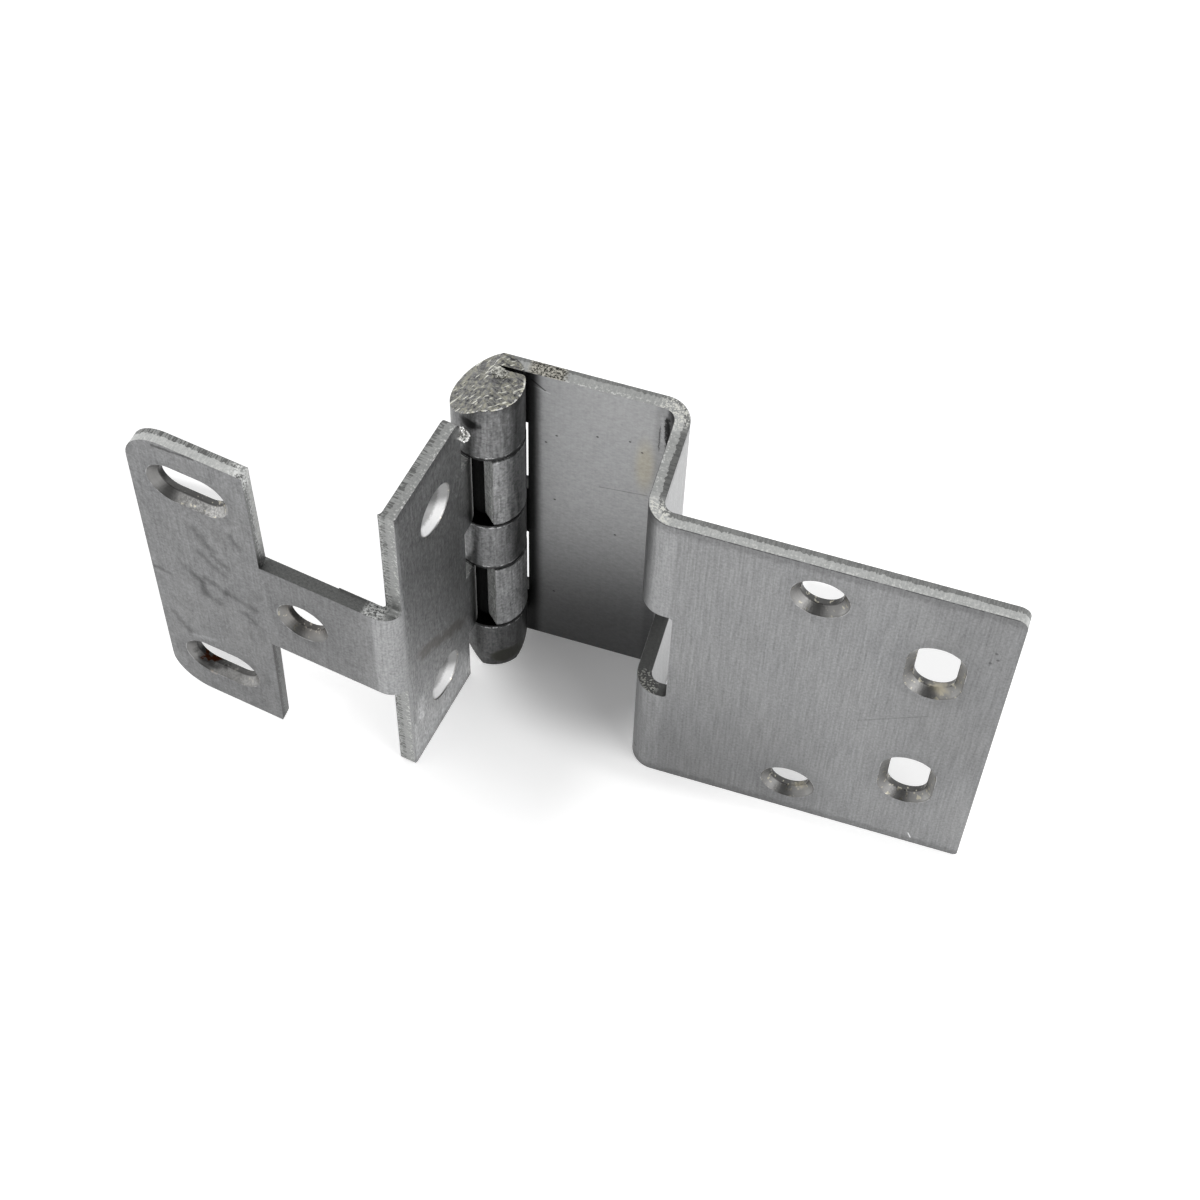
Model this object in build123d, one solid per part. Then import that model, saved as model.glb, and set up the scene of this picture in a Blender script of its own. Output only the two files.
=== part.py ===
from build123d import *
import os
from math import asin, atan2, cos, degrees, radians, sin, sqrt, tan

os.makedirs("parts", exist_ok=True)

# Institutional hinge, in mm. Z runs up along the pin and the origin is on its axis, at the foot of the barrel.
# The door leaf's two long plates lie along X, and the step between them runs towards -Y.
# The frame leaf is built closed, over the door leaf's back plate, and then swung open about Z.

# Both leaves
height = 69.85  # 2-3/4 in
sheet = 2.28  # 13 gauge
swing = -98.8  # the frame leaf's angle from closed

# Barrel
pin_r = 3.175
running_gap = 0.05  # around the pin in the frame leaf's knuckles
knuckle_gap = 0.3  # between neighbours along the pin
end_knuckle = 12.1  # knuckles 1 and 5
middle_knuckle = 11.85  # knuckle 3
top_bevel_start, top_bevel_slope = 0.7, 0.8  # where the slope starts in X, and its fall for each mm beyond
foot_bevel_start, foot_bevel_slope = -0.2, 1.6

# Door leaf
curl_gap = 0.6  # between the curl's end and the back plate
curl_lip_r = 0.8  # on the outside of the curl's end
curl_corner_start, curl_corner_slope = -2.75, 1.04  # the end's cut foot: its start in Y, and its rise for each mm
notch_edge = 5.0  # the back plate's edge beside knuckles 2 and 4
step_face = 29.4  # the step's right face, where it would meet the back plate's rear face
step_lean = 1.3  # degrees that the step leans from square
back_bend_r = 2.0  # inside radius where the back plate turns into the step
front_bend_r = 1.8  # inside radius where the step turns into the screw plate
screw_front = 15.68  # the screw plate's front face, in front of the pin
screw_end = 81.85
screw_top_corner_r = 1.8
screw_foot_corner_r = 0.8

# Window
window_tall = 22.9
window_gap = 0.77  # around the neck when the hinge is closed
window_past_step = 3.7  # its right edge in the screw plate
window_corner_r = 0.8

# Screw holes
hole_r = 3.1  # through the sheet
sink_r = 4.3  # where a countersink meets the face
sink_angle = 82
slot_travel = 4.8  # between the centres of a slot's two ends
round_x = 53.6
round_spacing = 53.98
slot_inset = 10.5  # from the screw plate's end
slot_spacing = 31.8

# Frame leaf, closed
wing_offset = 0.17  # the wing's near face, in front of the pin's axis
swage_r = 4.0  # the reverse bend between a knuckle and the wing, at the middle of the sheet
curl_inner_end, curl_outer_end = 13.8, 33.3  # degrees where the curl's slanted end starts and finishes
wing_notch_edge = 8.1  # the wing's edge beside knuckles 1, 3 and 5
wing_end_gap = 0.2  # between the wing's cut end and the step when the hinge is closed
wing_corner_r = 1.6  # beside knuckle 1
wing_foot_r = 0.7
wing_hole_x = 16.1
wing_hole_r = 2.45  # countersunk through nearly the whole sheet
wing_hole_spacing = 46.5
neck_past_step = 0.1  # front of the neck and head; the neck lies in the step's window when closed
neck_bend_r = 1.0
neck_corner_r = 0.9  # in the corners between the wing's cut end and the neck
neck_hole_y = -16.3
head_start = -22.65
head_end = -42.7
head_lean = 1.0  # degrees that the head's inner edges lean away from the neck
head_slant = 5  # degrees that those cut edges lean in towards the back
head_low, head_high = 0.2, 68.0
head_corner_r = 6.4
head_slot_y = -33.05
head_slot_low, head_slot_high = head_low + 10.1, head_high - 9.4

slot_x = screw_end - slot_inset
window_right = step_face + window_past_step
window_back = window_gap - wing_offset
neck_tall = window_tall - 2 * window_gap
neck_face = step_face + neck_past_step
wing_end = neck_face - sheet - wing_end_gap
middle = height / 2
far = 100  # longer than the hinge, for cutters that run out past it
low = (Align.CENTER, Align.CENTER, Align.MIN)

# The two spaces between the door leaf's knuckles, which the frame leaf's two fill
lower_room = (end_knuckle, middle - middle_knuckle / 2)
upper_room = (middle + middle_knuckle / 2, height - end_knuckle)


def polar(centre, radius, angle):
    return (centre[0] + radius * cos(radians(angle)), centre[1] + radius * sin(radians(angle)))


def bend(centre, inner, start, end, outer_start=None, outer_end=None):
    """A bend of the sheet in plan, from one angle to the other; slanted where its outside stops elsewhere."""
    outer_start = start if outer_start is None else outer_start
    outer_end = end if outer_end is None else outer_end
    outer = inner + sheet
    return make_face([
        CenterArc(centre, inner, start, end - start),
        Line(polar(centre, inner, end), polar(centre, outer, outer_end)),
        CenterArc(centre, outer, outer_start, outer_end - outer_start),
        Line(polar(centre, outer, outer_start), polar(centre, inner, start)),
    ])


def flat(*corners):
    return make_face(Polyline(*corners, close=True))


def block(x, y, z):
    """A box between two values each way."""
    size = [b - a for a, b in (x, y, z)]
    return Pos(*[(a + b) / 2 for a, b in (x, y, z)]) * Box(*size)


def rounded(solid, along, place, radius):
    """The edge nearest to a place, of those that run along an axis, rounded off."""
    return fillet(solid.edges().filter_by(along).sort_by_distance(place)[0], radius)


def screw_hole(travel=0, hole=hole_r):
    """Countersunk hole with its mouth at z = 0, going down; a slot runs along X."""
    rise = 1.0
    slope = tan(radians(sink_angle / 2))
    depth = (sink_r - hole) / slope
    flare = sink_r + rise * slope
    ends = [-travel / 2, travel / 2] if travel else [0]
    cutter = None
    for x in ends:
        drill = Pos(x, 0, -sheet - rise) * Cylinder(hole, sheet + 2 * rise, align=low)
        sink = Pos(x, 0, -depth) * Cone(hole, flare, depth + rise, align=low)
        cutter = drill + sink if cutter is None else cutter + drill + sink
    if travel:
        section = flat((-hole, -sheet - rise), (hole, -sheet - rise), (hole, -depth), (flare, rise),
                       (-flare, rise), (-hole, -depth))
        cutter += extrude(Plane.YZ * section, travel / 2, both=True)
    return cutter


def turned(cutter, x, y, z, face):
    """A cutter with its mouth moved to a face that looks towards -Y, +Y or +X."""
    turns = {"-Y": Rot(90, 0, 0), "+Y": Rot(-90, 0, 0), "+X": Rot(0, 0, 90) * Rot(90, 0, 0)}
    return Pos(x, y, z) * turns[face] * cutter


def barrel_bevels():
    """The two slopes ground on the barrel's left side, at the top and at the foot."""
    fall = top_bevel_slope * far
    top = flat((top_bevel_start, height), (top_bevel_start, height + fall), (top_bevel_start - far, height + fall),
               (top_bevel_start - far, height - fall))
    rise = foot_bevel_slope * far
    foot = flat((foot_bevel_start, 0), (foot_bevel_start, -rise), (foot_bevel_start - far, -rise),
                (foot_bevel_start - far, rise))
    return [extrude(Plane.XZ * face, far, both=True) for face in (top, foot)]


def door_profile():
    """The door leaf in plan: curl, back plate, step and screw plate."""
    rear = pin_r + sheet
    curl_end = pin_r - curl_gap
    curl = bend((0, 0), pin_r, 90, 360 + degrees(asin(curl_end / pin_r)),
                outer_end=360 + degrees(asin(curl_end / rear)))
    lip = curl.vertices().sort_by_distance((sqrt(rear ** 2 - curl_end ** 2), curl_end, 0))[0]
    curl = fillet(lip, curl_lip_r)
    across = (cos(radians(step_lean)), sin(radians(step_lean)))
    face = step_face * across[0] + rear * across[1]

    def on_step(y, distance):
        return ((distance - y * across[1]) / across[0], y)

    one = on_step(pin_r - back_bend_r, face - sheet - back_bend_r)
    two = on_step(sheet - screw_front + front_bend_r, face + front_bend_r)
    profile = curl + flat((0, pin_r), (one[0], pin_r), (one[0], rear), (0, rear))
    profile += bend(one, back_bend_r, step_lean, 90)
    profile += flat(polar(one, back_bend_r, step_lean), polar(one, back_bend_r + sheet, step_lean),
                    polar(two, -front_bend_r, step_lean), polar(two, -front_bend_r - sheet, step_lean))
    profile += bend(two, front_bend_r, 180 + step_lean, 270)
    profile += flat((two[0], -screw_front), (screw_end, -screw_front), (screw_end, sheet - screw_front),
                    (two[0], sheet - screw_front))
    return profile


def window():
    """The cut that goes through the step and round the front bend."""
    z = (middle - window_tall / 2, middle + window_tall / 2)
    through_step = block((step_face - sheet - 3, window_right - 2), (-screw_front - 3, window_back), z)
    through_step = fillet(through_step.edges().filter_by(Axis.X).group_by(Axis.Y)[-1], window_corner_r)
    through_plate = block((step_face - sheet - 3, window_right), (-screw_front - 3, sheet - screw_front + 0.5), z)
    through_plate = fillet(through_plate.edges().filter_by(Axis.Y).group_by(Axis.X)[-1], window_corner_r)
    return [through_step, through_plate]


def curl_corner():
    """The corner cut from the sheet where the lowest knuckle's curl ends."""
    y = pin_r - curl_gap / 2
    rise = curl_corner_slope * (y - curl_corner_start)
    corner = flat((curl_corner_start, 0), (y, rise), (y, -1), (curl_corner_start, -1))
    return extrude(Plane.YZ * corner, step_face / 2)


def door_leaf():
    leaf = extrude(door_profile(), height)
    for room in (lower_room, upper_room):
        leaf -= block((-far, notch_edge), (-far, far), room)
        leaf -= block((-far, step_face / 2), (-far, pin_r - curl_gap / 2), room)
    for cutter in window() + barrel_bevels() + [curl_corner()]:
        leaf -= cutter
    leaf = rounded(leaf, Axis.Y, (screw_end, -screw_front, height), screw_top_corner_r)
    leaf = rounded(leaf, Axis.Y, (screw_end, -screw_front, 0), screw_foot_corner_r)
    for side in (-1, 1):
        leaf -= turned(screw_hole(), round_x, -screw_front, middle + side * round_spacing / 2, "-Y")
        slot = Rot(0, 0, 90) * screw_hole(slot_travel)
        leaf -= turned(slot, slot_x, -screw_front, middle + side * slot_spacing / 2, "-Y")
    return leaf


def frame_profile():
    """The closed frame leaf in plan: curl, reverse bend, wing, neck and head."""
    bore = pin_r + running_gap
    line = wing_offset + sheet / 2
    ring = bore + sheet / 2
    swage_x = sqrt((ring + swage_r) ** 2 - (line + swage_r) ** 2)
    swage_y = -line - swage_r
    join = degrees(atan2(swage_y, swage_x))
    curl = bend((0, 0), bore, curl_inner_end, 360 + join, outer_start=curl_outer_end)
    swage = bend((swage_x, swage_y), swage_r - sheet / 2, 90, 180 + join)
    near, rear = -wing_offset, -wing_offset - sheet
    corner = (neck_face - sheet - neck_bend_r, rear - neck_bend_r)
    profile = curl + swage + flat((swage_x, near), (corner[0], near), (corner[0], rear), (swage_x, rear))
    profile += bend(corner, neck_bend_r, 0, 90)
    profile += flat((neck_face - sheet, corner[1]), (neck_face, corner[1]), (neck_face, head_end),
                    (neck_face - sheet, head_end))
    return profile


def frame_cutters():
    """All that is cut away from the frame leaf's sheet."""
    beside_knuckles = [(-far, lower_room[0] + knuckle_gap), (lower_room[1] - knuckle_gap, upper_room[0] + knuckle_gap),
                       (upper_room[1] - knuckle_gap, height + far)]
    cutters = [block((-far, wing_notch_edge), (-far, far), z) for z in beside_knuckles]
    for side in (1, -1):
        edge = middle + side * neck_tall / 2
        outside = sorted((edge, side * far))
        beyond_wing = block((wing_end, far), (head_start / 2, far), outside)
        corner = beyond_wing.edges().filter_by(Axis.Y).sort_by_distance((wing_end, 0, edge))[0]
        cutters.append(fillet(corner, neck_corner_r))
        lean = tan(radians(head_lean)) * far
        beside_head = flat((0, edge), (-lean, edge + side * far), (far, edge + side * far), (far, edge))
        beside_head = extrude(Plane.YZ * beside_head, far / 2, both=True)
        beside_head &= block((wing_end - neck_face, far), (-far, -head_start / 2 + 1), (-2 * far, 2 * far))
        cutters.append(Pos(neck_face, head_start, 0) * Rot(0, 0, head_slant) * beside_head)
    cutters.append(block((-far, far), (-far, head_start), (head_high, height + far)))
    cutters.append(block((-far, far), (-far, head_start), (-far, head_low)))
    return cutters


def frame_leaf():
    leaf = extrude(frame_profile(), height)
    for cutter in frame_cutters():
        leaf -= cutter
    leaf = fillet(leaf.edges().filter_by(Axis.X).group_by(Axis.Y)[0], head_corner_r)
    leaf = rounded(leaf, Axis.Y, (wing_notch_edge, -wing_offset, height), wing_corner_r)
    leaf = rounded(leaf, Axis.Y, (wing_end, -wing_offset, 0), wing_foot_r)
    for side in (-1, 1):
        z = middle + side * wing_hole_spacing / 2
        leaf -= turned(screw_hole(hole=wing_hole_r), wing_hole_x, -wing_offset, z, "+Y")
    leaf -= turned(screw_hole(), neck_face, neck_hole_y, middle, "+X")
    for z in (head_slot_low, head_slot_high):
        leaf -= turned(screw_hole(slot_travel), neck_face, head_slot_y, z, "+X")
    return Rot(0, 0, swing) * leaf


def hinge_pin():
    pin = Cylinder(pin_r, height, align=low)
    for cutter in barrel_bevels():
        pin -= cutter
    return pin


pieces = {"door_leaf": door_leaf(), "frame_leaf": frame_leaf(), "hinge_pin": hinge_pin()}
for name, piece in pieces.items():
    solids = piece.solids()
    print(name, len(solids), "solid", round(piece.volume, 1), piece.bounding_box())
    export_step(solids[0] if len(solids) == 1 else piece, f"parts/{name}.step")
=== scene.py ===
from math import cos, radians, sin, tan

import bmesh
import bpy
from mathutils import Matrix, Quaternion, Vector, noise


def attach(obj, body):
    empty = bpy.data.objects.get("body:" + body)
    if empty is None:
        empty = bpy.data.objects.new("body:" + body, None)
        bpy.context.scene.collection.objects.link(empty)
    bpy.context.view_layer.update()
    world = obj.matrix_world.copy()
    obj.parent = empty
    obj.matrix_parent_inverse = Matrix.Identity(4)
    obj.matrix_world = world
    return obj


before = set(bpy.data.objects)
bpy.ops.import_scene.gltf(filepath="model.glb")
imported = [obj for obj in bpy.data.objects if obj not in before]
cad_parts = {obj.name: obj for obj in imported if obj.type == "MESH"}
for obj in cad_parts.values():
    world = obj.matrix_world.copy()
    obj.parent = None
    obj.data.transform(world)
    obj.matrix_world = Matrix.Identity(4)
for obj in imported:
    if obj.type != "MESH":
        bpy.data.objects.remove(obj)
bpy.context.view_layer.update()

# Lengths of the hinge that the finishes follow, in mm
SHEET = 2.28
HEIGHT = 69.85
MIDDLE = HEIGHT / 2
SWING = 98.8  # degrees that the frame leaf stands open
PIN_R = 3.175
BARREL_R = 5.5
PIN_PLAY = 0.05
STEP_LEAN = 1.3  # degrees
FIRST_BEND = (25.24, 1.175, 2.0)  # X and Y of the door leaf's first bend before the lean, and its inner radius
SECOND_BEND = (31.33, -11.6, 4.08)  # the same of its second bend, with the outer radius
NECK_BEND = (26.22, -3.45, 1.0)  # X and Y of the frame leaf's bend with the leaf closed, and its inner radius
WINDOW_HALF = 11.6  # half of the window's height
GAPS = (14.4, 8.7, 8.0)  # from the middle to the middle of knuckle 2 or 4, and where its gap's grime and painted shade end and start
HOLE_R = 3.1
SINK_R = 4.3  # where a countersink meets the face
SLOT_TRAVEL = 4.8
ROUND_HOLES = (53.6, 53.98 / 2)  # X, and distance from the middle in Z
SLOTS = (71.35, 31.8 / 2)
WING_HOLES = (16.1, 46.5 / 2)
NECK_HOLE = (-16.3, MIDDLE)  # Y with the leaf closed, and Z
HEAD_SLOTS = (-33.05, 34.45, 24.15)  # Y with the leaf closed, the pair's middle in Z, and distance from it
KNUCKLE_BORDERS = (12.1, MIDDLE - 5.925, MIDDLE + 5.925, HEIGHT - 12.1)
HEAD_STROKES = (  # Y and Z of each dark stroke's two ends with the leaf closed, and its half width
    (-33.3, 48.8, -31.0, 45.2, 1.15), (-33.5, 42.9, -29.5, 39.0, 0.85), (-36.2, 36.6, -33.8, 34.0, 0.9),
    (-33.9, 34.8, -33.4, 30.8, 1.1), (-33.4, 31.3, -31.0, 29.8, 1.0), (-33.1, 35.7, -29.5, 34.0, 0.8),
    (-29.5, 34.0, -24.9, 32.5, 0.9), (-30.7, 43.3, -28.4, 41.6, 0.7), (-27.0, 51.2, -25.8, 49.0, 0.8),
    (-42.3, 32.7, -39.6, 32.1, 0.6), (-26.7, 30.2, -25.1, 28.5, 0.8), (-40.6, 20.5, -38.4, 16.6, 0.8))
BACK_PLATE_PITS = ((7.75, 54.1), (9.4, 56.4), (15.6, 58.8), (20.5, 59.7), (22.4, 57.8), (9.2, 39.8), (9.2, 13.7),
                   (18.9, 34.6))  # X and Z
SCREW_PLATE_PITS = ((78.8, 60.3), (79.2, 58.8), (78.3, 57.6))
TAN_SPOTS = ((54.4, 6.0, 2.6, 1.3), (72.4, 46.0, 2.2, 1.6), (69.9, 16.4, 1.8, 1.8))  # X, Z, half width, half height
WING_SCRATCHES = (((8.6, 56.2), (9.9, 59.0)), ((9.9, 59.0), (11.0, 56.4)), ((8.6, 56.2), (9.8, 53.4)),
                  ((9.8, 53.4), (11.0, 56.4)))  # X and Z of each end, with the leaf closed
GRIT = ((2.6, 2.6, 2.6), 2.0, 0.75, None, 32.0)  # the fine noise that the frame leaf's cuts and cones share


class Signal:
    """A shader value that can be written into a sum, such as 1 - wear * 0.5."""

    def __init__(self, finish, socket):
        self.finish, self.socket = finish, socket

    def math(self, operation, *values):
        return self.finish.node("ShaderNodeMath", {"operation": operation}, *values)

    def __add__(self, other):
        return self.math("ADD", self, other)

    def __sub__(self, other):
        return self.math("SUBTRACT", self, other)

    def __rsub__(self, other):
        return self.math("SUBTRACT", other, self)

    def __mul__(self, other):
        return self.math("MULTIPLY", self, other)

    def __truediv__(self, other):
        return self.math("DIVIDE", self, other)

    def __neg__(self):
        return self.math("MULTIPLY", self, -1.0)

    def __abs__(self):
        return self.math("ABSOLUTE", self)

    __radd__ = __add__
    __rmul__ = __mul__


class Finish:
    """One material and the few kinds of node that it is made from. Lengths in it are in mm."""

    def __init__(self, name):
        self.material = bpy.data.materials.new(name)
        self.material.use_nodes = True
        self.nodes = self.material.node_tree.nodes
        self.links = self.material.node_tree.links
        self.shader = self.nodes["Principled BSDF"]
        self.noises = {}
        places = self.node("ShaderNodeTexCoord", {})
        self.point = self.vector("SCALE", self.out(places, "Object"), scale=1000.0)
        self.facing = self.out(places, "Normal")

    def node(self, kind, settings, *values, **named):
        made = self.nodes.new(kind)
        for key, value in settings.items():
            setattr(made, key, value)
        for key, value in list(enumerate(values)) + list(named.items()):
            if isinstance(value, Signal):
                self.links.new(value.socket, made.inputs[key])
            elif value is not None:
                made.inputs[key].default_value = value
        return Signal(self, made.outputs[0])

    def out(self, signal, name):
        return Signal(self, signal.socket.node.outputs[name])

    def vector(self, operation, *values, scale=None):
        named = {} if scale is None else {"Scale": scale}
        return self.node("ShaderNodeVectorMath", {"operation": operation}, *values, **named)

    def parts(self, vector):
        split = self.node("ShaderNodeSeparateXYZ", {}, vector)
        return [self.out(split, axis) for axis in "XYZ"]

    def join(self, x, y, z=0.0):
        return self.node("ShaderNodeCombineXYZ", {}, x, y, z)

    def turned(self, vector, degrees):
        return self.node("ShaderNodeVectorRotate", {"rotation_type": "Z_AXIS"}, vector, Angle=radians(degrees))

    def step(self, value, low, high):
        """0 at low, 1 at high, and smooth between them; low may be the larger."""
        return self.node("ShaderNodeMapRange", {"interpolation_type": "SMOOTHSTEP"}, value, low, high, 0.0, 1.0)

    def between(self, value, low, high, soft):
        return self.step(value, low - soft, low + soft) * self.step(value, high + soft, high - soft)

    def least(self, a, b):
        return self.node("ShaderNodeMath", {"operation": "MINIMUM"}, a, b)

    def most(self, a, b):
        return self.node("ShaderNodeMath", {"operation": "MAXIMUM"}, a, b)

    def length(self, across, along):
        return self.out(self.vector("LENGTH", self.join(across, along)), "Value")

    def away(self, plane, centre):
        """Distance from a point, in the plane of two of the axes."""
        return self.out(self.vector("DISTANCE", plane, (*centre, 0.0)), "Value")

    def noise(self, stretch, detail=2.0, rough=0.5, at=None, seed=0.0, bend=0.0):
        """Noise from 0 to 1. stretch is how many cells it has for each mm along X, Y and Z."""
        at = at or self.point
        key = (stretch, detail, rough, at.socket.as_pointer(), seed, bend)
        if key not in self.noises:
            place = self.vector("MULTIPLY_ADD", at, stretch, (seed * 7.3, seed * 3.1, seed * 5.7))
            self.noises[key] = self.node("ShaderNodeTexNoise", {}, place, Scale=1.0, Detail=detail, Roughness=rough,
                                         Distortion=bend)
        return self.noises[key]

    def cells(self, stretch):
        """Distance to the middle of the nearest of many small cells."""
        place = self.vector("MULTIPLY", self.point, stretch)
        return self.node("ShaderNodeTexVoronoi", {"feature": "F1"}, place, Scale=1.0)

    def mix(self, share, first, second):
        """A colour between two; a colour is three numbers or a signal."""
        first, second = [c if isinstance(c, Signal) else (*c, 1.0) for c in (first, second)]
        made = self.node("ShaderNodeMix", {"data_type": "RGBA"}, share, *[None] * 5, first, second)
        return Signal(self, made.socket.node.outputs[2])

    def blend(self, share, first, second):
        """A value between two."""
        return self.node("ShaderNodeMix", {"data_type": "FLOAT", "clamp_factor": False}, share, None, first, second)

    def tint(self, colour, value):
        """A colour made lighter or darker by a value."""
        return self.vector("SCALE", colour, scale=value)

    def join_shader(self, colour, rough, relief, depth, metallic=1.0):
        """Joins colour, roughness and a relief, whose 0 to 1 is a depth in mm, to the shader."""
        shader = self.shader.inputs
        if isinstance(metallic, Signal):
            self.links.new(metallic.socket, shader["Metallic"])
        else:
            shader["Metallic"].default_value = metallic
        self.links.new(colour.socket, shader["Base Color"])
        self.links.new(rough.socket, shader["Roughness"])
        bump = self.node("ShaderNodeBump", {}, Strength=1.0, Distance=depth / 1000, Height=relief)
        self.links.new(bump.socket, shader["Normal"])
        return self.material


class Steel(Finish):
    """Bare rolled steel: brushed faces, sheared edges, countersinks and ground ends, laid one over another."""

    def __init__(self, name, turn=0.0, speckle=0.0):
        super().__init__(name)
        self.place = self.turned(self.point, turn)
        self.x, self.y, self.z = self.parts(self.place)
        self.up = self.parts(self.facing)[2]
        self.xz, self.yz = self.join(self.x, self.z), self.join(self.y, self.z)
        self.radius = self.length(self.x, self.y)
        self.faces(speckle)

    def faces(self, speckle):
        brush = self.noise((3.2, 3.2, 0.12), 3.0, 0.65)
        cloud = self.noise((0.09, 0.09, 0.05), 2.0, 0.6, seed=2.0)
        grain = self.noise((2.5, 2.5, 2.0), 2.0, 0.6, seed=3.0)
        self.tone = 0.30 * (0.45 + brush * 0.90 + cloud * 0.20 + (grain - 0.5) * (0.80 + speckle))
        self.hue = self.mix(cloud, (0.985, 1.0, 1.02), (1.0, 1.0, 1.0))
        self.rough = 0.33 + brush * 0.10 + cloud * 0.06
        self.relief = brush * 0.7 + grain * (0.5 + speckle * 0.5)
        self.metal = 1.0

    def lay(self, share, tone=None, hue=None, rough=None, relief=None):
        """Puts something over what is there, where share is 1; what isn't given stays."""
        if tone is not None:
            self.tone = self.blend(share, self.tone, tone)
        if hue is not None:
            self.hue = self.mix(share, self.hue, hue)
        if rough is not None:
            self.rough = self.blend(share, self.rough, rough)
        if relief is not None:
            self.relief = self.blend(share, self.relief, relief)

    def darken(self, share, amount):
        self.tone = self.tone * share.math("MULTIPLY_ADD", share, -amount, 1.0)

    def lighten(self, share, amount):
        self.darken(share, -amount)

    def slot_distance(self, across, along, travel):
        """Distance from a hole's middle line; across and along are measured from its centre."""
        return self.length(across, self.most(abs(along) - travel / 2, 0.0))

    def cut_edge(self, depth, along, light, dark, torn_from, hatch):
        """The sheared edge: smooth near the punch's side, torn and darker beyond a scalloped line, hatched across."""
        cut = self.between(depth, 0.05, SHEET - 0.05, 0.03)
        wander = self.noise((0.25, 0.25, 0.25), 1.0, 0.5, seed=6.0)
        teeth = self.cells((2.2, 2.2, 2.2)) * 0.5
        torn = self.step(depth + teeth + wander * 0.3, torn_from + 0.38, torn_from + 0.46)
        streak = self.noise((4.0, 0.5, 4.0), 1.0, 0.7, at=self.join(along, depth, self.z), seed=7.0)
        fine = self.noise((2.4, 2.4, 2.4), 2.0, 0.7, seed=5.0)
        sheared_tone = light * (0.50 + streak * 0.45 + fine * 0.55)
        torn_tone = dark * (0.8 - hatch * 0.5 + fine * 0.4 + self.step(streak, 0.42, 0.58) * hatch)
        self.lay(cut, self.blend(torn, sheared_tone, torn_tone), self.mix(fine, (0.97, 1.0, 1.0), (1.0, 1.0, 0.96)),
                 self.blend(torn, 0.42, 0.62), self.blend(torn, streak * 0.9, fine * 1.6 + streak))
        self.lay(cut * self.step(depth, 1.3, 0.0) * self.step(fine, 0.56, 0.62), 0.62, rough=0.3)
        return cut

    def die_roll_shade(self, distance, share):
        """Painted shade of a cut's die roll: a broken dark line at the cut, and a ragged duller strip beside it."""
        ragged = self.noise((0.9, 0.9, 0.9), 2.0, 0.7, seed=8.0)
        self.darken(self.step(distance + (ragged - 0.5) * 2.6, 2.3, 0.9) * share, 0.26)
        broken = self.step(ragged, 0.36, 0.50) * share
        self.lay(self.step(distance + (ragged - 0.5) * 0.3, 0.24, 0.10) * broken, 0.09, rough=0.5)

    def countersink(self, distance, depth, painted_glint_share=1.0):
        """A cut cone with fine turned rings, painted warm sparkles and a painted thin bright line round its mouth."""
        inside = self.step(distance, SINK_R + 0.03, SINK_R - 0.03) * self.step(depth, SHEET - 0.02, SHEET - 0.12)
        rings = self.noise((0.5, 0.5, 7.0), 1.0, 0.6, at=self.join(distance, distance, depth), seed=9.0)
        smear = self.noise((0.5, 0.5, 0.5), 2.0, 0.6, seed=15.0)
        self.lay(inside, 0.14 + rings * 0.07 + smear * 0.12, (1.0, 0.99, 0.97), 0.36 + rings * 0.06)
        # painted shade on the through hole's wall
        self.darken(self.step(distance, HOLE_R + 0.15, HOLE_R + 0.02), 0.55)
        self.darken(self.step(distance, 7.5, SINK_R) * self.step(depth, 0.3, 0.1) * smear, 0.22)
        # painted highlights: small warm bright specks on the cone
        painted_glint = self.step(self.noise((1.4, 1.4, 1.4), 1.0, 0.7, seed=16.0), 0.60, 0.68)
        self.lay(inside * painted_glint * painted_glint_share, 0.40, (1.0, 0.95, 0.78), 0.3)
        # painted highlight: a thin bright line where the cone meets the face
        painted_rim_highlight = self.between(distance, SINK_R - 0.02, SINK_R + 0.10, 0.05)
        self.lay(painted_rim_highlight * self.step(smear, 0.48, 0.62) * self.step(depth, 0.3, 0.1), 0.38, rough=0.35)

    def ground_end(self):
        """The barrel's ends, where a wheel has smeared knuckle and pin into one rough face."""
        near = self.step(self.radius, BARREL_R + 0.35, BARREL_R - 0.05)
        ends = self.step(abs(self.z - MIDDLE), MIDDLE - 9.0, MIDDLE - 8.5)
        ground = near * self.step(abs(self.up), 0.35, 0.5) * ends
        drag = self.noise((0.45, 2.6, 0.45), 2.0, 0.7, at=self.turned(self.point, 25.0), seed=11.0)
        coarse = self.noise((1.1, 1.1, 1.1), 3.0, 0.75, seed=12.0, bend=1.0)
        olive = self.step(coarse, 0.44, 0.60)
        lumps = self.step(coarse, 0.30, 0.70)
        self.lay(ground, 0.02 + self.step(drag, 0.30, 0.70) * 0.14 + lumps * 0.28,
                 self.mix(olive, (1.0, 1.0, 1.0), (1.0, 0.98, 0.82)), 0.32 + coarse * 0.3, drag * 3.0 + coarse * 12.0)
        # painted highlights: light streaks across the ground face
        painted_glint_streaks = self.noise((0.6, 2.4, 0.6), 1.0, 0.6, at=self.turned(self.point, -40.0), seed=13.0)
        self.lay(ground * self.step(painted_glint_streaks, 0.63, 0.69), 0.70, (1.0, 1.0, 0.9), 0.22)
        # painted highlight on the broken outer edge, at its front right only
        broken = self.noise((1.6, 1.6, 1.6), 1.0, 0.6, seed=17.0)
        painted_rim_highlight = self.step(self.radius, BARREL_R - 0.42, BARREL_R - 0.22) * self.step(broken, 0.46, 0.54)
        self.lay(ground * painted_rim_highlight * self.step(self.x, -2.5, 1.0) * self.step(self.y, 2.4, 1.0), 0.75, rough=0.25)
        return ground

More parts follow.
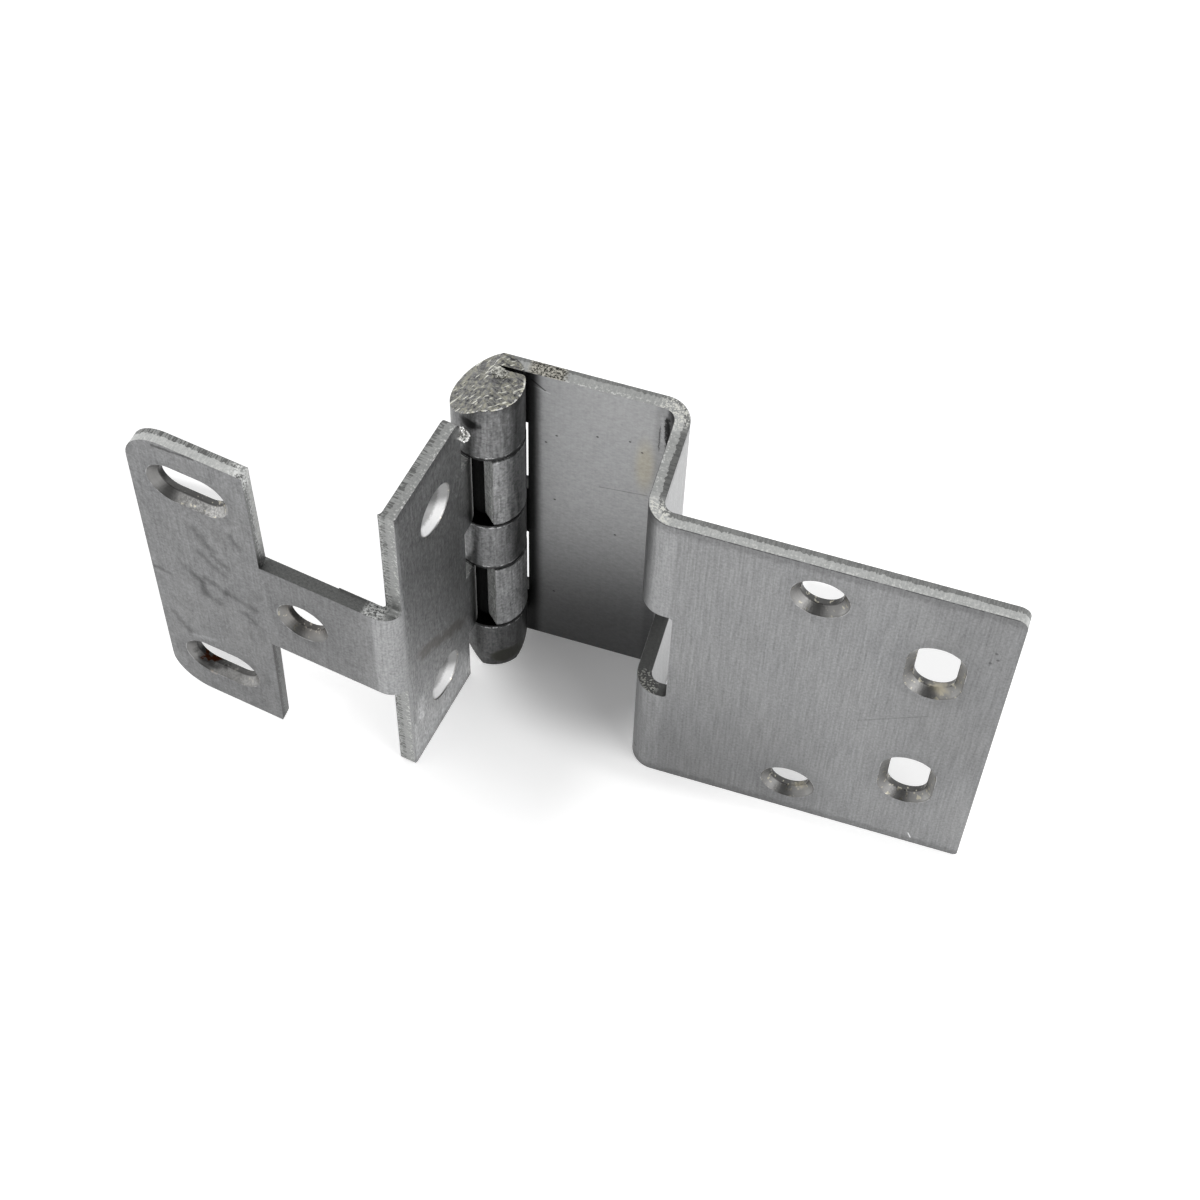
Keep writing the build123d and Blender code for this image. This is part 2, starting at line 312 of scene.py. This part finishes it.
    def knuckle_borders(self):
        """Dark grime with painted shade, and small bright burrs, where one knuckle meets the next."""
        ragged = self.noise((1.1, 1.1, 1.1), 2.0, 0.7, seed=14.0)
        outside = self.step(self.radius, BARREL_R + 0.2, BARREL_R)
        for border in KNUCKLE_BORDERS:
            away = abs(self.z - border) + (ragged - 0.5) * 0.9
            # grime and painted shade along each gap between knuckles
            self.darken(self.step(away, 0.75, 0.25) * outside, 0.85)
            burr = self.between(away, 0.62, 0.82, 0.08) * self.step(ragged, 0.50, 0.58)
            self.lay(burr * outside, 0.55, rough=0.25)

    def rolled_marks(self, share):
        """Streaks and small spots on the outside of the knuckles."""
        streak = self.noise((1.6, 1.6, 0.18), 2.0, 0.65, seed=18.0)
        spots = self.noise((1.8, 1.8, 1.5), 1.0, 0.7, seed=19.0)
        self.tone = self.tone * (1.0 + share * ((streak - 0.5) * 1.5 + (spots - 0.5) * 1.2))

    def mottle(self, share, amount):
        """Upright blotches and specks, lighter and darker."""
        blotches = self.noise((2.3, 2.3, 0.8), 2.0, 0.75, seed=20.0)
        self.tone = self.tone * (1.0 + share * (blotches - 0.5) * amount)

    def ragged_patch(self, x, z, wide, tall, seed):
        """1 inside a ragged patch of a face, 0 outside; x and z are each a signal and the patch's centre."""
        ragged = self.noise((0.5, 0.5, 0.5), 2.0, 0.65, seed=seed)
        away = self.length((x[0] - x[1]) / wide, (z[0] - z[1]) / tall)
        return self.step(away + (ragged - 0.5) * 1.3, 1.0, 0.3)

    def line(self, plane, start, end, wide, ragged=0.0, core=0.3):
        """1 on a straight scratch between two points, in the plane of two of the axes.

        ragged frays it, and a low core softens it.
        """
        run, rise = end[0] - start[0], end[1] - start[1]
        squared = run * run + rise * rise
        from_start = self.vector("SUBTRACT", plane, (*start, 0.0))
        share = self.out(self.vector("DOT_PRODUCT", from_start, (run / squared, rise / squared, 0.0)), "Value")
        share = self.node("ShaderNodeClamp", {}, share)
        off = self.vector("MULTIPLY_ADD", share, (-run, -rise, 0.0), from_start)
        return self.step(self.out(self.vector("LENGTH", off), "Value") + ragged, wide, wide * core)

    def done(self):
        return self.join_shader(self.tint(self.hue, self.tone), self.rough, self.relief, 0.025, self.metal)


def door_depth(f):
    """How deep a point lies in the door leaf's sheet, from the side that the screws enter."""
    x = f.x + f.y * tan(radians(STEP_LEAN))
    bend_x, bend_y, inner = FIRST_BEND
    back = f.length(f.most(x - bend_x, 0.0), f.most(f.y - bend_y, 0.0)) - inner
    bend_x, bend_y, outer = SECOND_BEND
    front = outer - f.length(f.most(bend_x - x, 0.0), f.most(bend_y - f.y, 0.0))
    depth = f.blend(f.step(f.y, -5.0, -6.0), back, front)
    plate = f.step(f.x, 0.6, 1.2) * f.step(f.y, 2.75, 2.95)
    on_curl = f.step(f.radius, 5.75, 5.6) * (1.0 - plate)
    return f.blend(on_curl, depth, f.radius - PIN_R)


def back_plate_marks(f, on_back_plate, front):
    """Pits, a scratch, a warm stain and the dent that the bending tool left in the corner."""
    on_back_plate = on_back_plate * front
    for pit in BACK_PLATE_PITS:
        f.darken(f.step(f.away(f.xz, pit), 0.26, 0.12) * on_back_plate, 0.75)
    f.darken(f.line(f.xz, (16.2, 46.3), (23.5, 47.3), 0.14) * on_back_plate, 0.35)
    f.darken(f.line(f.xz, (5.6, 68.4), (7.6, 66.6), 0.22) * on_back_plate, 0.7)
    f.lighten(f.line(f.xz, (5.9, 67.0), (8.3, 66.2), 0.20) * on_back_plate, 0.4)
    f.darken(f.step(f.x, 23.7, 24.7) * on_back_plate, 0.20)
    warm = f.step(f.length((f.x - 22.9) / 1.9, (f.z - 54.6) / 8.0), 1.1, 0.3) * on_back_plate
    f.hue = f.mix(warm * 0.9, f.hue, (1.07, 1.01, 0.85))
    ragged = f.noise((2.2, 2.2, 1.2), 2.0, 0.8, seed=21.0)
    across = f.x - 26.0 + (f.z - 64.5) * 0.05 + (ragged - 0.5) * 1.3
    in_dent = f.step(abs(f.z - 64.4), 4.0, 3.0) * f.step(f.y, -1.0, 0.0) * front
    f.darken(f.step(abs(across), 0.62, 0.2) * in_dent, 0.93)
    f.lighten(f.between(abs(across), 0.62, 0.95, 0.12) * in_dent, 0.15)
    hairline = abs(f.x - 24.8 + (ragged - 0.5) * 0.5)
    f.darken(f.step(hairline, 0.16, 0.04) * f.step(abs(f.z - 62.3), 3.4, 2.4) * on_back_plate, 0.6)
    f.lighten(f.between(f.x, 25.0, 25.5, 0.15) * f.step(ragged, 0.5, 0.6) * in_dent, 0.2)


def screw_plate_marks(f, on_screw_plate):
    """A long faint scratch, a few pits and a light tick on the screw plate."""
    f.darken(f.line(f.xz, (62.2, 32.6), (71.8, 39.0), 0.2) * on_screw_plate, 0.22)
    for pit in SCREW_PLATE_PITS:
        f.darken(f.step(f.away(f.xz, pit), 0.36, 0.15) * on_screw_plate, 0.5)
    f.lay(f.line(f.xz, (74.2, 1.6), (73.7, 2.8), 0.16) * on_screw_plate, 0.8)


def door_edges(f, cut):
    """The door leaf's cuts: painted sparkles at bends, dull in the window, crumbled at the back plate's top corner.
    """
    painted_sparkle = f.noise((3.0, 3.0, 3.0), 1.0, 0.7, seed=24.0)
    first_bend = f.step(f.length(f.x - 27.0, f.y - 3.0), 3.6, 2.0)
    second_bend = f.step(f.length(f.x - 28.6, f.y + 14.6), 3.4, 2.0)
    # painted highlights: bright specks on the cuts at the two bends
    f.lay(cut * f.most(first_bend, second_bend) * f.step(painted_sparkle, 0.50, 0.56), 0.66, (1.0, 1.0, 0.93), 0.3)
    in_window = f.between(f.z, MIDDLE - WINDOW_HALF, MIDDLE + WINDOW_HALF, 0.1) * f.between(f.x, 24.0, 34.0, 0.3)
    grit = f.noise((2.6, 2.6, 2.6), 2.0, 0.75, seed=22.0)
    f.lay(cut * in_window, 0.10 + grit * 0.08, rough=0.6)
    # painted highlights on the window's cuts at the second bend
    f.lay(cut * in_window * second_bend * f.step(painted_sparkle, 0.54, 0.60), 0.55, rough=0.3)
    crumbled = cut * f.between(f.x + (grit - 0.5) * 2.0, 5.0, 10.4, 0.5) * f.step(f.z, 60.0, 65.0)
    f.lay(crumbled, 0.04 + f.step(grit, 0.40, 0.62) * 0.48, (1.0, 0.97, 0.86), 0.45)
    # dirt and painted shade on the cut faces in the notches beside the knuckles
    in_notch = f.between(f.z, 8.0, 64.0, 0.5) * f.step(f.x, 8.0, 7.0)
    f.darken(cut * in_notch, 0.85)


def door_holes(f, depth, on_screw_plate):
    """The screw plate's holes and slots, lit on their right sides, with tan spots in three of them."""
    for (x, offset), travel in ((ROUND_HOLES, 0.0), (SLOTS, SLOT_TRAVEL)):
        away = f.slot_distance(f.x - x, abs(f.z - MIDDLE) - offset, travel)
        f.countersink(away, depth)
        right_side = f.step(f.x, x + 2.6, x + 3.6) * f.step(away, SINK_R + 0.1, SINK_R - 0.1)
        f.lighten(right_side * f.step(depth, 0.02, 0.2), 0.45)
    for x, z, wide, tall in TAN_SPOTS:
        tan_spot = f.ragged_patch((f.x, x), (f.z, z), wide, tall, 26.0) * on_screw_plate
        f.lay(tan_spot * f.step(depth, 0.05, 0.2), 0.44, (1.0, 0.92, 0.72))


def door_knuckles(f, on_barrel):
    """Rolled knuckles: painted shade at the foot and on the right, a nick near the top, an olive stain low down."""
    f.rolled_marks(on_barrel)
    f.darken(on_barrel, 0.34)
    # painted shade: darker on the right, beside the back plate, and at the foot
    f.darken(on_barrel * f.step(f.x, 4.2, 5.2), 0.45)
    f.darken(on_barrel * f.step(f.z, 14.0, 11.0), 0.50)
    f.darken(f.ragged_patch((f.x, -0.9), (f.z, 66.1), 1.9, 1.7, 23.0) * f.step(f.y, -4.0, -4.5), 0.93)
    olive = f.step(f.length((f.x - 3.4) / 2.6, (f.z - 2.6) / 2.3), 1.0, 0.6) * on_barrel
    f.lay(olive * f.step(f.y, -1.0, -2.0), 0.035, (1.0, 1.0, 0.80))
    f.knuckle_borders()
    f.ground_end()


def door_steel():
    f = Steel("door_leaf")
    depth = door_depth(f)
    on_barrel = f.step(f.radius, BARREL_R + 0.25, BARREL_R)
    on_screw_plate = f.step(f.y, -13.0, -14.0)
    on_back_plate = f.step(f.y, 2.9, 3.1) * (1.0 - on_barrel)
    smooth = f.noise((1.3, 1.3, 2.0), 2.0, 0.7, seed=25.0)
    f.lay(on_back_plate * 0.85, 0.30 * (0.70 + smooth * 0.60), rough=0.38)
    # painted shade of the die roll along the top and bottom cuts
    f.die_roll_shade(MIDDLE - abs(f.z - MIDDLE), 1.0 - on_back_plate)
    f.darken(on_screw_plate, 0.09)
    # painted highlight on the screw plate's bend
    f.lighten(f.between(f.x, 29.4, 32.6, 0.4) * f.step(f.y, -12.0, -14.0), 0.14)
    # painted shade on the screw plate's lower left, toward the foot and the step
    f.darken(on_screw_plate * f.step(f.z, 40.0, 5.0) * f.step(f.x, 64.0, 50.0), 0.24)
    f.darken(on_screw_plate * f.step(f.x, 60.0, 76.0) * f.step(f.z, 14.0, 32.0), 0.16)
    # painted light on the back plate's upper part and painted shade on its lower part
    f.lighten(on_back_plate * f.step(f.z, 20.0, 65.0), 0.18)
    f.darken(on_back_plate * f.step(f.z, 42.0, 8.0), 0.55)
    front = f.step(depth, 0.35, 0.1)
    # painted shade: a dark strip on the front beside the barrel
    f.darken(f.step(f.x, 7.6, 5.7) * (1.0 - on_barrel) * front, 0.92)
    back_plate_marks(f, on_back_plate, front)
    f.darken(f.step(f.away(f.xz, (28.4, 3.6)), 0.35, 0.15) * front, 0.8)
    # painted light on faces turned to +X, away from the barrel
    f.lighten(f.step(f.parts(f.facing)[0], 0.8, 0.95) * f.step(f.radius, 20.0, 25.0), 0.25)
    screw_plate_marks(f, on_screw_plate * front)
    along = f.blend(f.between(f.x, 25.5, 30.5, 0.3), f.x, f.y)
    on_step = f.between(f.x, 25.0, 32.0, 0.5) * f.between(f.y, -11.0, -0.5, 1.0)
    cut = f.cut_edge(depth, along, 0.46 - f.most(on_back_plate, on_step) * 0.09, 0.26 - on_step * 0.09,
                     f.blend(on_back_plate, 1.40, 1.66), 0.25)
    door_edges(f, cut)
    door_holes(f, depth, on_screw_plate)
    door_knuckles(f, on_barrel)
    return f.done()


def wing_marks(f, on_wing):
    """A brownish smear above the foot, a ring and crossed scratches beside the holes, and a scuffed foot."""
    ragged = f.noise((0.5, 0.5, 0.5), 2.0, 0.65, seed=34.0)
    off = abs(f.z - 18.0 - (f.x - 9.0) * 0.75) + (ragged - 0.5) * 5.0
    f.lay(on_wing * f.step(off, 2.4, 0.6) * f.between(f.x, 9.5, 23.5, 1.5) * 0.7, 0.12, (1.06, 1.0, 0.92))
    ring = abs(f.away(f.xz, (14.2, 18.4)) - 0.75)
    f.darken(on_wing * f.step(ring, 0.32, 0.10), 0.30)
    for start, end in WING_SCRATCHES:
        f.lay(on_wing * f.line(f.xz, start, end, 0.24) * f.step(ragged, 0.42, 0.52), 0.46, rough=0.4)
    f.darken(on_wing * f.ragged_patch((f.x, 26.6), (f.z, 14.0), 1.4, 4.5, 35.0), 0.35)
    f.lighten(on_wing * f.ragged_patch((f.x, 24.0), (f.z, 13.0), 1.6, 5.5, 36.0), 0.35)


def head_marks(f, on_head):
    """Soft smudges and dark strokes across the head, a dark line at its top and a light one above its lower slot."""
    smudge = f.noise((0.16, 0.34, 0.26), 3.0, 0.62, at=f.place, seed=31.0, bend=0.9)
    f.darken(on_head * f.step(smudge, 0.52, 0.66), 0.16)
    f.lighten(on_head * f.step(smudge, 0.46, 0.34), 0.08)
    ragged = (f.noise((0.7, 0.7, 0.7), 2.0, 0.65, seed=37.0) - 0.5) * 2.0
    for y, z, y_end, z_end, wide in HEAD_STROKES:
        f.darken(on_head * f.line(f.yz, (y, z), (y_end, z_end), wide * 1.7, ragged, -0.4), 0.50)
    f.darken(on_head * f.line(f.yz, (-37.6, 67.0), (-31.0, 67.9), 0.4, ragged * 0.4), 0.6)
    f.lighten(on_head * f.line(f.yz, (-37.4, 15.9), (-33.6, 17.0), 0.7, ragged * 0.6), 0.30)


def slot_rust(f, on_head, depth):
    """Rust at the left end of the lower slot, and the tan spot below it."""
    rusty = f.noise((0.9, 0.9, 0.9), 2.0, 0.6, seed=33.0)
    in_slot = f.length((f.y + 36.0) / 2.2, (f.z - 8.6) / 2.0) + (rusty - 0.5) * 1.6
    in_sink = f.step(depth, 0.25, 0.6) * on_head
    f.darken(f.step(in_slot, 1.5, 0.9) * in_sink, 0.6)
    f.lay(f.step(in_slot, 0.85, 0.65) * in_sink, 0.05, (1.0, 0.30, 0.12), 0.85)
    tan_spot = f.step(f.away(f.yz, (-35.3, 6.0)), 0.9, 0.3) * on_head * f.step(depth, 0.35, 0.1)
    f.lay(tan_spot * f.step(rusty, 0.40, 0.55), 0.42, (1.0, 0.88, 0.74))


def frame_edges(f, cut, depth, on_barrel, on_head):
    """The frame leaf's cuts: dark beside the neck, with painted sparkles at the bend and the head's corner.

    Painted light lies on the knuckles' cut ends, and grime and painted shade in the gaps at knuckles 2 and 4.
    Returns the upper part of the head's inner side, which is painted lighter as painted light.
    """
    beside_neck = f.between(f.y, -22.9, -5.5, 0.5) * f.step(abs(f.z - MIDDLE), 9.0, 10.0)
    grit = f.noise(*GRIT)
    f.lay(cut * beside_neck, 0.06 + grit * 0.14, rough=0.5)
    head_side = cut * on_head * f.step(f.y, -24.2, -23.9) * f.step(f.y, -22.0, -22.4)
    # painted light on the upper part of the head's inner side
    upper = head_side * f.step(f.z, 44.0, 52.0)
    f.lay(head_side, f.blend(upper, 0.15, 0.42) * (0.2 + grit * 1.6), rough=0.45)
    f.darken(head_side * f.step(depth + (grit - 0.5) * 3.0, 1.1, 0.7), 0.6)
    corner = cut * f.step(f.y, -26.2, -24.6) * f.step(f.y, -22.0, -22.4) * f.step(f.z, 64.0, 66.5)
    # painted highlights: bright specks at the head's corner
    f.lay(corner * f.step(grit, 0.48, 0.56), 0.75, rough=0.3)
    # dark at the neck's bend, with painted bright specks
    f.lay(cut * f.between(f.y, -5.5, -2.4, 0.6) * f.step(f.x, 24.0, 25.5), 0.10 + f.step(grit, 0.40, 0.58) * 0.45)
    # painted light on the knuckles' cut ends, more on the upper knuckle
    f.lay(cut * on_barrel, 0.40 + f.step(f.z, 35.0, 40.0) * 0.15 + f.step(grit, 0.5, 0.6) * 0.30)
    from_middle, ends, starts = GAPS
    in_gap = f.step(abs(f.y + 0.1), 0.5, 0.2) * f.step(abs(abs(f.z - MIDDLE) - from_middle), ends, starts)
    # grime and painted shade in the gap beside knuckles 2 and 4
    f.darken(in_gap * f.step(f.x, 7.8, 5.4), 0.92)
    return upper


def wing_holes(f, on_wing, depth):
    """The wing's two countersinks, painted with a highlight low in each cone. Returns where the cones are."""
    grit = f.noise(*GRIT)
    hole_x, offset = WING_HOLES
    away = f.slot_distance(f.x - hole_x, abs(f.z - MIDDLE) - offset, 0.0)
    f.countersink(f.blend(on_wing, 20.0, away), depth)
    in_sink = f.step(depth, 0.05, 0.3) * f.step(away, SINK_R + 0.1, SINK_R - 0.1) * on_wing
    height = abs(f.z - MIDDLE) - offset
    height = f.blend(f.step(f.z, MIDDLE, MIDDLE + 1.0), -height, height)
    # painted highlight: the low part of each cone is near white
    f.lay(in_sink, f.blend(f.step(height, -1.2, -3.0), 0.34, 1.0) * (0.85 + grit * 0.3), (1.0, 1.0, 1.0), 0.42)
    # painted shade deeper in the hole
    f.darken(in_sink * f.step(depth + (grit - 0.5) * 0.6, 1.0, 1.5), 0.55)
    return in_sink


def head_holes(f, on_head, depth):
    """The neck's round hole, stained brown, and the head's two slots, lit at their right ends and rusty below."""
    grit = f.noise(*GRIT)
    neck = f.away(f.yz, NECK_HOLE)
    f.countersink(f.blend(on_head, 20.0, neck), depth)
    slot_y, pair_z, offset = HEAD_SLOTS
    slots = f.slot_distance(abs(f.z - pair_z) - offset, f.y - slot_y, SLOT_TRAVEL)
    lit = f.step(f.y, -36.5, -33.5) * (0.3 + f.step(f.z, 30.0, 40.0) * 0.7)
    f.countersink(f.blend(on_head, 20.0, slots), depth, lit)
    in_slots = f.between(slots, HOLE_R + 0.15, SINK_R, 0.06) * on_head
    f.lighten(in_slots * lit * (0.25 + f.step(grit, 0.35, 0.65)), 1.2)
    slot_rust(f, on_head, depth)
    f.hue = f.mix(f.step(neck, 4.5, 2.0) * on_head * 0.7, f.hue, (1.08, 0.98, 0.86))


def frame_steel():
    f = Steel("frame_leaf", SWING, speckle=0.3)
    bend_x, bend_y, inner = NECK_BEND
    sheet = inner + SHEET - f.length(f.most(f.x - bend_x, 0.0), f.most(f.y - bend_y, 0.0))
    on_barrel = f.step(f.radius, BARREL_R + 0.3, BARREL_R)
    depth = f.blend(on_barrel, sheet, f.radius - PIN_R - PIN_PLAY)
    on_wing = f.step(f.x, 26.6, 26.2) * (1.0 - on_barrel)
    on_head = f.step(f.y, -3.5, -4.5)
    right = f.parts(f.point)[0]
    # painted shade of the die roll along the top and bottom cuts
    f.die_roll_shade(MIDDLE - abs(f.z - MIDDLE), 1.0 - on_head)
    f.darken(on_head, 0.32)
    f.darken(f.between(f.y, -21.0, -7.0, 2.0), 0.12)
    # painted highlight on the neck's bend
    f.lighten(f.step(f.y, -7.0, -3.5) * f.step(f.x, 24.5, 26.5), 0.10)
    f.darken(on_wing, 0.06)
    # painted light on the wing's and head's upper parts, and a painted reflection of the floor on the wing's foot
    f.lighten(on_wing * f.step(f.z, 50.0, 64.0), 0.10)
    f.lighten(on_head * f.step(f.z, 45.0, 60.0), 0.07)
    f.lighten(on_wing * f.step(f.z, 22.0, 8.0), 0.32)
    f.darken(on_barrel, 0.08)
    f.mottle(on_wing, 1.6)
    front = f.step(depth, 0.35, 0.1)
    head_marks(f, on_head * front)
    wing_marks(f, on_wing * front)
    cut = f.cut_edge(depth, f.blend(on_head, f.x, f.y), f.blend(on_head, 0.31, 0.52), 0.28, 1.40, 0.75)
    upper = frame_edges(f, cut, depth, on_barrel, on_head)
    in_sink = wing_holes(f, on_wing, depth)
    # not metal where light is painted: the knuckles' cut ends, the head's lighter inner side and the wing's cones
    f.metal = 1.0 - f.most(f.most(cut * on_barrel, upper), in_sink)
    head_holes(f, on_head, depth)
    f.rolled_marks(on_barrel)
    # painted shade on the right of the upper knuckle, painted light on the right of the lower one
    f.darken(on_barrel * f.step(right, 4.2, 5.3) * f.step(f.z, 30.0, 35.0), 0.30)
    f.lighten(on_barrel * f.step(right, 3.0, 5.0) * f.step(f.z, 35.0, 30.0), 0.70)
    f.knuckle_borders()
    return f.done()


def pin_painted_black():
    f = Steel("hinge_pin")
    # painted shade: the pin's sides, seen only in the seams, are near black and without shine; its ends stay ground
    # steel
    f.tone = f.tone * 0.05
    f.metal = f.ground_end()
    f.shader.inputs["Specular IOR Level"].default_value = 0.0
    return f.done()


def burr_steel(name, tone, hue):
    f = Steel(name)
    crumple = f.noise((1.8, 1.8, 1.8), 3.0, 0.7, seed=41.0)
    f.lay(f.step(crumple, 0.0, 0.01), tone * (0.15 + f.step(crumple, 0.35, 0.65) * 1.5), hue, 0.26 + crumple * 0.2,
          crumple * 8.0)
    return f.done()


def burr(name, body, finish, place, size, seed, turn=0.0):
    """A crumpled chip of steel that the saw or the press left; place and size are in mm."""
    shape = bmesh.new()
    bmesh.ops.create_icosphere(shape, subdivisions=4, radius=1.0)
    for point in shape.verts:
        crumple = noise.noise(point.co * 1.9 + Vector((seed, 0, 0))) + 0.7 * noise.noise(point.co * 4.5)
        point.co = point.co * (1.0 + 0.35 * crumple)
        point.co = Vector(a * b / 2000 for a, b in zip(point.co, size))
    mesh = bpy.data.meshes.new(name)
    shape.to_mesh(mesh)
    shape.free()
    mesh.transform(Matrix.Rotation(radians(turn), 4, "Z") @ Matrix.Translation(Vector(place) / 1000))
    mesh.materials.append(finish)
    made = bpy.data.objects.new(name, mesh)
    bpy.context.collection.objects.link(made)
    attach(made, body)


def seen_directly(f):
    """1 for the camera's rays and for reflections, 0 for the light that falls on things."""
    rays = f.node("ShaderNodeLightPath", {})
    seen = [f.out(rays, name) for name in ("Is Camera Ray", "Is Glossy Ray", "Is Transmission Ray")]
    return f.most(f.most(seen[0], seen[1]), seen[2])


def floor_finish():
    """White floor, lighter to the camera and in the steel away from the leaves' corner, with painted shade near it.

    It keeps the object's shadow. Two areas behind the plates are darker, as painted shadows, and two in front of
    the leaves are lighter to the camera alone, as painted light.
    """
    f = Finish("white_floor")
    shader = f.shader.inputs
    shader["Base Color"].default_value = (0.9, 0.9, 0.9, 1.0)
    shader["Roughness"].default_value = 0.9
    shader["Specular IOR Level"].default_value = 0.0
    shader["Emission Strength"].default_value = 1.0
    x, y = f.parts(f.point)[:2]
    away = f.length(x - 17.0, y - 1.0)
    # painted shade: the floor glows less near the leaves' corner
    glow = 0.15 + f.step(away, 9.0, 21.0) * 0.26 + f.step(away, 21.0, 40.0) * 0.12
    # painted shadows behind the screw plate and the head, and painted light in front of the leaves
    painted_shadow_behind_screw_plate = f.between(x, 46.0, 78.5, 1.0) * f.between(y, -13.5, 27.0, 1.0)
    painted_shadow_behind_head = f.between(x + (y + 18.8) * 0.624, -47.5, -32.5, 1.0) * f.between(y, -21.5, 13.0, 1.0)
    painted_light_in_front = f.step(y, -16.5, -20.5) * (f.step(x, 16.0, 28.0) + f.step(x, -16.0, -26.0))
    by_camera = f.out(f.node("ShaderNodeLightPath", {}), "Is Camera Ray")
    glow = seen_directly(f) * (glow - f.most(painted_shadow_behind_screw_plate, painted_shadow_behind_head) * 0.32) + by_camera * painted_light_in_front * 0.15
    f.links.new(f.join(glow, glow, glow).socket, shader["Emission Color"])
    return f.material


def floor():
    bpy.ops.mesh.primitive_plane_add(size=6, location=(0, 0, 0))
    plane = bpy.context.object
    plane.name = "floor"
    plane.data.materials.append(floor_finish())


def lamp(name, place, aim, size, power):
    light = bpy.data.lights.new(name, "AREA")
    light.shape, light.size, light.size_y = "RECTANGLE", *size
    light.energy = power
    made = bpy.data.objects.new(name, light)
    made.location = place
    made.rotation_mode = "QUATERNION"
    made.rotation_quaternion = (Vector(aim) - Vector(place)).to_track_quat("-Z", "Y")
    bpy.context.collection.objects.link(made)


class World(Finish):
    """The studio's walls."""

    def __init__(self):
        made = bpy.data.worlds.new("studio")
        made.use_nodes = True
        bpy.context.scene.world = made
        self.nodes, self.links = made.node_tree.nodes, made.node_tree.links


def surroundings():
    """Soft white walls with a dark opening in front and above.

    The steel reflects the opening, and the camera doesn't see it.
    """
    f = World()
    way = f.out(f.node("ShaderNodeTexCoord", {}), "Generated")
    toward = f.out(f.vector("DOT_PRODUCT", way, (0.25, -0.68, 0.68)), "Value")
    by_camera = f.out(f.node("ShaderNodeLightPath", {}), "Is Camera Ray")
    opening = f.step(toward, 0.66, 0.90) * (1.0 - by_camera)
    light = f.blend(seen_directly(f), 0.85, 1.0) * (1.0 - opening * 0.95)
    f.links.new(f.join(light, light, light).socket, f.nodes["Background"].inputs["Color"])


def camera():
    """The photograph's camera, worked out from the hinge's straight edges."""
    azimuth, elevation, roll = radians(15.42), radians(58.024), radians(2.269)
    aim, distance = Vector((0.020294, -0.008982, 0.035)), 0.37526
    back = Vector((sin(azimuth) * cos(elevation), -cos(azimuth) * cos(elevation), sin(elevation)))
    data = bpy.data.cameras.new("camera")
    data.sensor_width, data.lens = 36.0, 74.92
    data.clip_start, data.clip_end = 0.01, 50
    made = bpy.data.objects.new("camera", data)
    made.location = aim + back * distance
    made.rotation_mode = "QUATERNION"
    made.rotation_quaternion = back.to_track_quat("Z", "Y") @ Quaternion((0, 0, 1), roll)
    bpy.context.collection.objects.link(made)
    bpy.context.scene.camera = made


for node, finish in (("door_leaf", door_steel), ("frame_leaf", frame_steel), ("hinge_pin", pin_painted_black)):
    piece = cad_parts[node]
    piece.data.materials.clear()
    piece.data.materials.append(finish())

burr("top_burr", "door_side", burr_steel("burr", 0.42, (1.0, 1.0, 0.92)), (1.2, 1.75, 69.95), (2.3, 1.7, 0.9), 3.0)
burr("wing_burr", "frame_side", burr_steel("light_burr", 0.80, (1.0, 1.0, 0.96)), (7.6, -0.1, 66.1), (1.6, 2.2, 2.5),
     8.0, turn=-SWING)

floor()
surroundings()
lamp("right", (0.75, -0.29, 0.36), (0, 0, 0.03), (0.6, 0.5), 3.5)
camera()
bpy.context.scene.view_settings.view_transform = "Standard"
